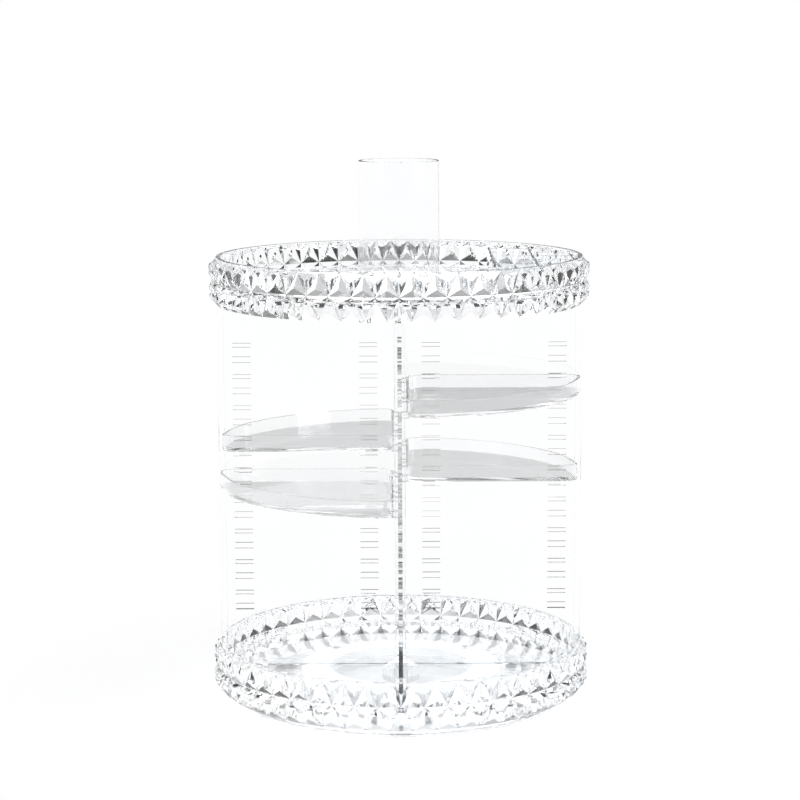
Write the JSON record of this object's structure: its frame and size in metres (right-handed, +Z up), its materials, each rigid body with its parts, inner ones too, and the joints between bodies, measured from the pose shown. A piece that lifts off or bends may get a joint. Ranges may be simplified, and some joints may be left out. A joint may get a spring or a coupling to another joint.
{
  "type": "rotating makeup organizer",
  "caption": "Round clear rotating makeup organizer with diamond-faceted trays, upright panels, adjustable quarter shelves and a brush cup.",
  "frame": {"origin": "middle of the underside of the foot pads, on the turning axis", "axes": "+Z up along the turning axis; -Y is the front, towards the notched front panel; +X is the lipstick side"},
  "size_m": [0.24, 0.24, 0.344],
  "materials": {
    "crystal_plastic": "clear moulded polystyrene with polished diamond facets",
    "clear_plastic": "clear polished polystyrene",
    "milky_plastic": "translucent white polystyrene",
    "race_plastic": "natural white acetal",
    "cage_plastic": "white nylon",
    "ball_steel": "polished bearing steel",
    "screw_steel": "zinc-plated steel",
    "rubber_black": "translucent grey rubber"
  },
  "bodies": {
    "base": {"foot_pads": "rubber_black", "base_plate": "milky_plastic", "lower_race": "race_plastic", "lower_race_screws": "screw_steel", "pivot_bush": "race_plastic", "pivot_washer": "screw_steel", "pivot_nut": "screw_steel", "pivot_screw": "screw_steel"},
    "ball_ring": {"ball_cage": "cage_plastic", "bearing_balls": "ball_steel"},
    "carousel": {"upper_race": "race_plastic", "upper_race_screws": "screw_steel", "lower_tray": "crystal_plastic", "divider_front": "clear_plastic", "divider_right": "clear_plastic", "divider_back": "clear_plastic", "divider_left": "clear_plastic"},
    "top": {"top_tray": "crystal_plastic"},
    "cup": {"brush_cup": "clear_plastic"},
    "shelf_front_left": {"shelf_front_left": "clear_plastic"},
    "shelf_front_right": {"shelf_front_right": "clear_plastic"},
    "shelf_rear_left": {"shelf_rear_left": "clear_plastic"},
    "shelf_rear_right": {"shelf_rear_right": "clear_plastic"}
  },
  "joints": [
    {"name": "carousel_turn", "type": "hinge", "parent": "base", "child": "carousel", "pos_m": [0, 0, 0.0106], "axis": [0, 0, 1], "continuous": true},
    {"name": "ball_ring_turn", "type": "hinge", "parent": "base", "child": "ball_ring", "pos_m": [0, 0, 0.0106], "axis": [0, 0, 1], "continuous": true},
    {"name": "top_tray_lift", "type": "slide", "parent": "carousel", "child": "top", "axis": [0, 0, 1], "range_m": [0, 0.04]},
    {"name": "brush_cup_lift", "type": "slide", "parent": "top", "child": "cup", "axis": [0, 0, 1], "range_m": [0, 0.09]},
    {"name": "shelf_front_left_slide", "type": "slide", "parent": "carousel", "child": "shelf_front_left", "axis": [-0.7071, -0.7071, 0], "range_m": [0, 0.12]},
    {"name": "shelf_front_right_slide", "type": "slide", "parent": "carousel", "child": "shelf_front_right", "axis": [0.7071, -0.7071, 0], "range_m": [0, 0.12]},
    {"name": "shelf_rear_left_slide", "type": "slide", "parent": "carousel", "child": "shelf_rear_left", "axis": [-0.7071, 0.7071, 0], "range_m": [0, 0.12]},
    {"name": "shelf_rear_right_slide", "type": "slide", "parent": "carousel", "child": "shelf_rear_right", "axis": [0.7071, 0.7071, 0], "range_m": [0, 0.12]}
  ],
  "couplings": [
    {"joint": "ball_ring_turn", "follows": "carousel_turn", "ratio": 0.5}
  ]
}
